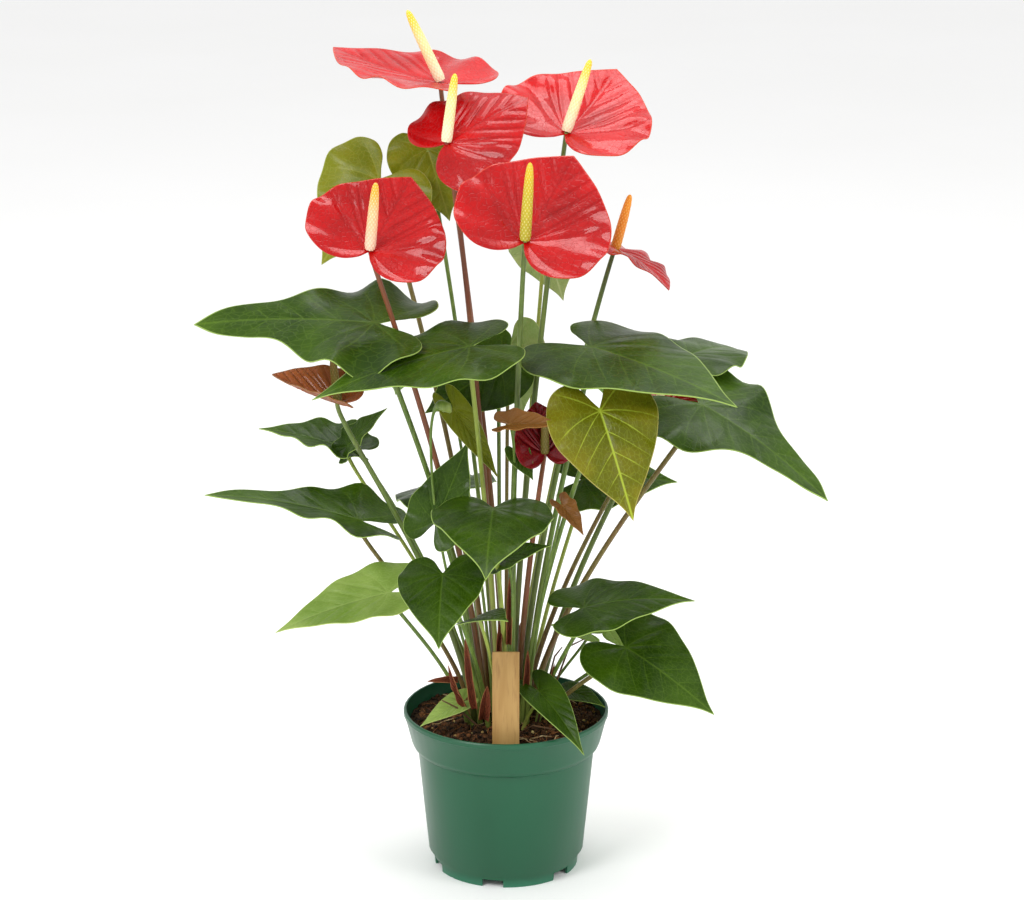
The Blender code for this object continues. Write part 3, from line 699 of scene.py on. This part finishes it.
green_stalk = stalk_finish(
    "stalk_green", rgb(146, 166, 76), rgb(90, 116, 44), rgb(118, 132, 60), rgb(72, 94, 38))
yellow_stalk = stalk_finish(
    "stalk_yellow", rgb(170, 184, 84), rgb(138, 154, 62), rgb(150, 150, 76), rgb(116, 122, 56))
brown_stalk = stalk_finish(
    "stalk_brown", rgb(150, 140, 70), rgb(110, 98, 48), rgb(120, 84, 52), rgb(112, 72, 44))
LEAF_STALKS = (green_stalk, yellow_stalk, green_stalk, brown_stalk)
LEAF_SWELLS = ((0, 1.5), (0.03, 1.45), (0.07, 1.05), (0.2, 0.95), (0.6, 0.95), (0.85, 1.1), (1, 1.5))

for number, leaf in enumerate(LEAVES):
    finishes, slot = LEAF_LOOKS.get(leaf.name, (green_finishes, "leaf_green"))
    outline = WAISTED_OUTLINE if leaf.name in WAISTED else LEAF_OUTLINE
    blade = blade_piece("blade_" + leaf.name, leaf, outline, finishes, LEAF_THICKNESS, 0.3)
    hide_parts("leaf_" + leaf.name)
    radius = (1.0 + 0.011 * leaf.width) * MM
    finish = LEAF_STALKS[number % len(LEAF_STALKS)]
    stalk = stalk_piece("stalk_" + leaf.name, leaf, finish, radius, LEAF_SWELLS)


# Flowers: each is a bare stem that carries a stiff, lacquered spathe and a spadix. The spathe is embossed
# with veins that fan out from the stem, and the spadix is packed with tiny round flowers in spiral rows.
SPATHE_THICKNESS = 0.8 * MM
STEM_RADIUS = 2.2 * MM
SPADIX_RADIUS = 4.4 * MM
STUDS_ROUND = 9
STUD_PITCH = 2.6 * MM
STEPS_TO_A_STUD = 6
STUD_TWIST = 1.15
SPADIX_LIFT = 1.2 * MM

# How thick a spadix is, in shares of its radius, at shares of its length
SPADIX_CLIMBS = (0, 0.06, 0.32, 0.62, 0.82, 0.94, 0.985, 1)
SPADIX_GIRTHS = (0.86, 1, 0.97, 0.88, 0.74, 0.55, 0.3, 0)

SPATHE_OUTLINE = (
    (-0.03, 0), (-0.15, 0.1), (-0.26, 0.3), (-0.28, 0.58), (-0.15, 0.88),
    (0.15, 1), (0.46, 0.86), (0.74, 0.52), (0.92, 0.18), (1, 0),
)

# A flower: its spathe as a blade, the way its spadix points, and the spadix's length in millimetres
Flower = namedtuple("Flower", "spathe spike length")

FLOWERS = (
    Flower(Blade("1", (0, 0), (-52, 45, 651), (-141, 112, 669), (0.08, -0.1, 1), 112, -6, 4, 10, 3),
           (-0.42, 0, 0.9), 62),
    Flower(Blade("2", (-7, -4), (-46, -18, 614), (18, 4, 646), (0, -0.5, 0.85), 104, 4, -6, -8, 3),
           (0.13, 0, 0.98), 54),
    Flower(Blade("3", (5, 3), (48, 20, 615), (90, 92, 654), (0, -0.5, 0.85), 128, -8, 6, 8, 3),
           (0.3, 0.05, 0.9), 60),
    Flower(Blade("4", (-16, -10), (-105, -60, 538), (-74, -18, 587), (-0.1, -0.85, 0.5), 116, -4, 8, 6, 3),
           (0.1, -0.2, 0.95), 56),
    Flower(Blade("5", (2, -9), (15, -82, 550), (53, -34, 607), (0, -0.75, 0.65), 128, -6, 8, 8, 3),
           (0.06, -0.1, 0.97), 62),
    Flower(Blade("6", (11, 0), (88, 46, 514), (132, 20, 487), (0.4, 0.1, 0.9), 92, 8, 10, -14, 3),
           (0.25, 0, 0.95), 46),
    Flower(Blade("7", (-25, -9), (-134, -30, 407), (-186, -20, 428), (0, -0.15, 0.98), 62, -4, 24, 20, 1),
           (-0.1, 0, 0.97), 38),
    Flower(Blade("8", (9, -7), (31, -54, 372), (24, -40, 410), (0, -0.85, 0.4), 54, -2, 22, 20, 1),
           (0, -0.2, 0.95), 32),
    Flower(Blade("9", (25, 7), (127, 50, 383), (160, 66, 388), (0, -0.4, 0.9), 54, 0, 10, 10, 2),
           (0, 0, 1), 30),
)


def spathe_finishes(name, dark, light, vein, margin, under):
    """The lacquered upper side and the duller underside of a spathe."""
    lacquer = dict(roughness=0.3, ior=1.4, specular_ior_level=0.22, coat_weight=0.35, coat_roughness=0.06)
    return (
        blade_finish(name, dark, light, vein, margin, 0.3, 0.8, spathe_veins, net_share=0.1, **lacquer),
        blade_finish(name + "_underside", under, light, vein, margin, 0.4, 0.6, spathe_veins,
                     roughness=0.4, ior=1.4),
    )


red_spathe = spathe_finishes(
    "spathe_red", rgb(152, 0, 2), rgb(190, 3, 6), rgb(124, 0, 2), rgb(190, 48, 26), rgb(190, 50, 54))
pink_spathe = spathe_finishes(
    "spathe_bright", rgb(170, 3, 5), rgb(202, 14, 18), rgb(144, 0, 4), rgb(204, 66, 40), rgb(206, 72, 76))
dark_spathe = spathe_finishes(
    "spathe_dark", rgb(104, 6, 18), rgb(146, 14, 26), rgb(84, 2, 12), rgb(132, 30, 26), rgb(140, 34, 34))
brown_spathe = spathe_finishes(
    "spathe_brown", rgb(140, 72, 36), rgb(170, 92, 50), rgb(112, 48, 26), rgb(150, 100, 54), rgb(150, 82, 44))
SPATHES = {"1": pink_spathe, "3": pink_spathe, "7": brown_spathe, "8": dark_spathe, "9": pink_spathe}


def spadix_finish(name, base, middle, tip, stud):
    """Tiny flowers that ripen from the base up: three colours along the spike, painted shade in the grooves
    between the studs and another colour on each stud.
    """
    material, tree, shader = new_material(name, roughness=0.5, ior=1.4, subsurface_weight=0.1)
    share = put(tree, "ShaderNodeAttribute", attribute_name="share", out=2)
    height = put(tree, "ShaderNodeAttribute", attribute_name="stud", out=2)
    colour = mix(tree, ease(tree, share, 0.05, 0.5), base, middle)
    colour = mix(tree, ease(tree, share, 0.5, 0.95), colour, tip)
    # Painted shade: the low grooves between the studs are darkened towards a dim copy of the tip colour.
    colour = mix(tree, ease(tree, height, 0.0, 0.5, 0.4, 0.0), colour, mix_colours(tip, (0, 0, 0, 1), 0.45))
    colour = mix(tree, ease(tree, height, 0.75, 0.95, 0.0, 0.7), colour, stud)
    feed(tree, shader, base_color=colour, normal=bumped(tree, speckle(tree, place(tree), 2500.0), 0.08 * MM))
    return material


cream_spadix = spadix_finish(
    "spadix_cream", rgb(240, 226, 190), rgb(240, 224, 160), rgb(236, 196, 20), rgb(250, 240, 206))
studded_spadix = spadix_finish(
    "spadix_studded", rgb(236, 196, 168), rgb(238, 190, 140), rgb(232, 170, 20), rgb(250, 226, 196))
olive_spadix = spadix_finish(
    "spadix_olive", rgb(168, 160, 40), rgb(186, 172, 44), rgb(210, 180, 30), rgb(224, 212, 140))
orange_spadix = spadix_finish(
    "spadix_orange", rgb(226, 150, 50), rgb(226, 136, 36), rgb(228, 140, 24), rgb(240, 190, 110))
ripe_spadix = spadix_finish(
    "spadix_ripe", rgb(110, 100, 40), rgb(120, 108, 40), rgb(120, 100, 40), rgb(150, 140, 80))
SPADICES = {"4": studded_spadix, "5": olive_spadix, "6": orange_spadix, "7": ripe_spadix, "8": ripe_spadix}


def spadix_piece(flower, finish):
    """A tapering spike, studded in two crossing spirals, with its foot on the spathe's hub."""
    hub, tip = np.array(flower.spathe.hub, float) * MM, np.array(flower.spathe.tip, float) * MM
    along = unit(tip - hub)
    up = unit(np.array(flower.spathe.face) - along * np.dot(flower.spathe.face, along))
    heading = Vector(flower.spike).normalized()
    length = flower.length * MM
    radius = SPADIX_RADIUS * min(1, 0.5 + flower.length / 110)
    rows = round(length / STUD_PITCH)
    bm = bmesh.new()
    bm.verts.layers.float.new("share")
    bm.verts.layers.float.new("stud")
    share, stud = bm.verts.layers.float["share"], bm.verts.layers.float["stud"]
    verts = bmesh.ops.create_grid(bm, x_segments=STUDS_ROUND * STEPS_TO_A_STUD,
                                   y_segments=rows * STEPS_TO_A_STUD, size=1)["verts"]
    turn_up = heading.to_track_quat("Z", "Y").to_matrix().to_4x4()
    to_hub = Matrix.Translation(Vector(hub + up * SPADIX_LIFT)) @ turn_up
    for vertex in verts:
        turn, climb = math.pi * vertex.co.x, (vertex.co.y + 1) / 2
        first = math.cos(STUDS_ROUND * turn / 2 + math.pi * rows * climb / 2 * STUD_TWIST)
        second = math.cos(STUDS_ROUND * turn / 2 - math.pi * rows * climb / 2 * STUD_TWIST)
        lump = math.sqrt(abs(first * second))
        girth = np.interp(climb, SPADIX_CLIMBS, SPADIX_GIRTHS)
        vertex[share], vertex[stud] = climb, lump
        width = radius * girth * (0.93 + 0.11 * lump)
        vertex.co = (width * math.cos(turn), width * math.sin(turn), length * climb)
    bmesh.ops.remove_doubles(bm, verts=verts, dist=0.0005 * MM)
    bmesh.ops.edgeloop_fill(bm, edges=[edge for edge in bm.edges if edge.is_boundary])
    bmesh.ops.recalc_face_normals(bm, faces=bm.faces)
    bmesh.ops.transform(bm, matrix=to_hub, verts=bm.verts)
    piece = finished("spike_" + flower.spathe.name, bm, [finish])
    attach(piece, "root")
    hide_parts("spadix_" + flower.spathe.name)


red_stem = stalk_finish(
    "stem_red", rgb(150, 60, 40), rgb(122, 74, 44), rgb(104, 88, 46), rgb(110, 58, 38))
green_stem = stalk_finish(
    "stem_green", rgb(132, 148, 66), rgb(88, 108, 46), rgb(92, 100, 48), rgb(74, 84, 40))
STEMS = {"3": green_stem, "5": green_stem, "6": green_stem, "7": green_stem, "9": green_stem}
STEM_SWELLS = ((0, 0.8), (0.1, 0.85), (0.5, 1), (0.9, 1.15), (1, 1.5))

for flower in FLOWERS:
    name = flower.spathe.name
    spathe = blade_piece("flower_" + name, flower.spathe, SPATHE_OUTLINE, SPATHES.get(name, red_spathe),
                         SPATHE_THICKNESS, 1.2, 160, 26, SPATHE_VEINS)
    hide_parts("spathe_" + name)
    spadix_piece(flower, SPADICES.get(name, cream_spadix))
    stem = stalk_piece("scape_" + name, flower.spathe, STEMS.get(name, red_stem), STEM_RADIUS, STEM_SWELLS)
    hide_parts("stem_" + name)


# Young growth: leaves that haven't opened fully, still bronze or already green, and a flower bud that is
# wrapped in its own spathe on a hooked stem. They come from the same crown as the rest.
young_finishes = leaf_finishes(
    "leaf_young", rgb(96, 58, 24), rgb(130, 86, 36), rgb(150, 120, 56), rgb(140, 96, 44), rgb(128, 88, 42))

YOUNG_LEAVES = (
    Blade("brown", (17, -16), (45, -60, 330), (62, -72, 309), (0.3, -0.8, 0.5), 20, 4, 22, 20, 2),
    Blade("olive", (6, -18), (3, -77, 402), (44, -88, 405), (0, -0.7, 0.7), 24, 4, 28, 24, 2),
    Blade("lobed", (-22, 4), (-130, 34, 352), (-97, 28, 386), (-0.3, -0.6, 0.7), 26, 4, 12, 10, 3),
    Blade("middle", (2, -22), (-2, -58, 284), (36, -78, 303), (0, -0.6, 0.8), 24, 4, 10, -8, 1),
    Blade("upper", (1, -20), (9, -58, 374), (22, -64, 352), (0, -0.8, 0.5), 20, 3, 14, 6, 1),
)

YOUNG_LOOKS = dict.fromkeys(("brown", "olive"), (young_finishes, "leaf_bronze"))

for young in YOUNG_LEAVES:
    finishes, slot = YOUNG_LOOKS.get(young.name, (green_finishes, "leaf_green"))
    blade = blade_piece("young_" + young.name, young, LEAF_OUTLINE, finishes, LEAF_THICKNESS, 0.3, 64, 12)
    stalk = stalk_piece("young_stalk_" + young.name, young, green_stalk, 1.2 * MM, LEAF_SWELLS)

BUD_PATH = (
    (-14, -15, 124), (-40, -24, 220), (-58, -38, 320), (-60, -50, 385),
    (-57, -58, 408), (-51, -62, 414), (-46, -64, 412), (-43, -65, 408),
)
BUD_RADII = (1.5, 1.2, 1.1, 1.1, 1.2, 4.4, 4.6, 1.0)
bm = bmesh.new()
bm.loops.layers.uv.new("flat")
bm.verts.layers.float.new("share")
corners = np.array(BUD_PATH, float) * MM
steps = np.linspace(0, len(corners) - 1, 60)
path = np.column_stack([np.interp(steps, range(len(corners)), corners[:, axis]) for axis in range(3)])
for _ in range(12):
    path[1:-1] = (path[:-2] + 2 * path[1:-1] + path[2:]) / 4
add_tube(bm, path, np.interp(steps, range(len(corners)), BUD_RADII) * MM, STALK_SIDES)
bmesh.ops.recalc_face_normals(bm, faces=bm.faces)
bud = finished("flower_bud", bm, [green_stalk])
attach(bud, "root")


# Sheaths: the dry, papery bracts that once wrapped each new leaf. They cling to the foot of the stalks, red
# brown and curled, and come away in points.
SHEATH_THICKNESS = 0.4 * MM
SHEATH_OUTLINE = ((0, 0), (-0.01, 0.5), (0.05, 0.85), (0.3, 1), (0.66, 0.62), (0.9, 0.2), (1, 0))

SHEATHS = (
    Blade("1", (0, 0), (-33, -38, 152), (-47, -46, 190), (-0.5, -0.8, 0.1), 9, 3, 30, 50, 1),
    Blade("2", (0, 0), (-25, -38, 150), (-33, -42, 212), (-0.2, -0.9, 0.1), 11, 3, 30, 60, 1),
    Blade("3", (0, 0), (-18, -42, 142), (-15, -46, 172), (0, -1, 0.1), 14, 3, 24, 60, 1),
    Blade("4", (0, 0), (2, -36, 205), (3, -37, 262), (0.1, -1, 0), 9, 2, 30, 70, 1),
    Blade("5", (0, 0), (-6, -36, 190), (-4, -37, 228), (-0.1, -1, 0), 8, 2, 30, 70, 1),
    Blade("6", (0, 0), (15, -34, 160), (18, -38, 200), (0.2, -1, 0), 9, 2, 30, 60, 1),
    Blade("7", (0, 0), (-40, -34, 172), (-64, -46, 176), (-0.2, -0.8, 0.5), 8, 5, 26, 50, 1),
    Blade("8", (0, 0), (28, -20, 140), (40, -26, 184), (0.5, -0.8, 0), 9, 2, 30, 50, 1),
    Blade("9", (0, 0), (8, 32, 142), (12, 40, 196), (0.1, 1, 0), 12, 3, 28, 60, 1),
    Blade("10", (0, 0), (-24, 28, 140), (-32, 36, 186), (-0.4, 1, 0), 11, 3, 28, 60, 1),
)

sheath_finishes = (
    blade_finish("papery_sheath", rgb(96, 34, 18), rgb(150, 76, 42), rgb(178, 110, 66), rgb(170, 110, 66),
                 0.5, 0.8, roughness=0.6, ior=1.4),
) * 2
for sheath in SHEATHS:
    piece = blade_piece("sheath_" + sheath.name, sheath, SHEATH_OUTLINE, sheath_finishes, SHEATH_THICKNESS,
                        0.3, 48, 12)

TWIGS = (
    ((26, -16, 128), (40, -20, 188), (46, -20, 196)),
    ((30, -14, 130), (52, -18, 196), (64, -20, 203)),
    ((-20, -30, 128), (-40, -38, 150), (-52, -42, 158)),
    ((10, -40, 128), (22, -52, 140), (40, -56, 138)),
)
twig_finish, tree, shader = new_material("dry_twig", roughness=0.8)
feed(tree, shader, base_color=mix(tree, speckle(tree, place(tree), 200.0), rgb(58, 36, 22), rgb(116, 82, 50)))
bm = bmesh.new()
for twig in TWIGS:
    steps = np.linspace(0, 2, 9)
    path = np.column_stack([np.interp(steps, range(3), np.array(twig)[:, axis] * MM) for axis in range(3)])
    add_tube(bm, path, np.linspace(1.0, 0.5, 9) * MM, 6)
bmesh.ops.recalc_face_normals(bm, faces=bm.faces)
twigs = finished("dry_twigs", bm, [twig_finish])
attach(twigs, "root")
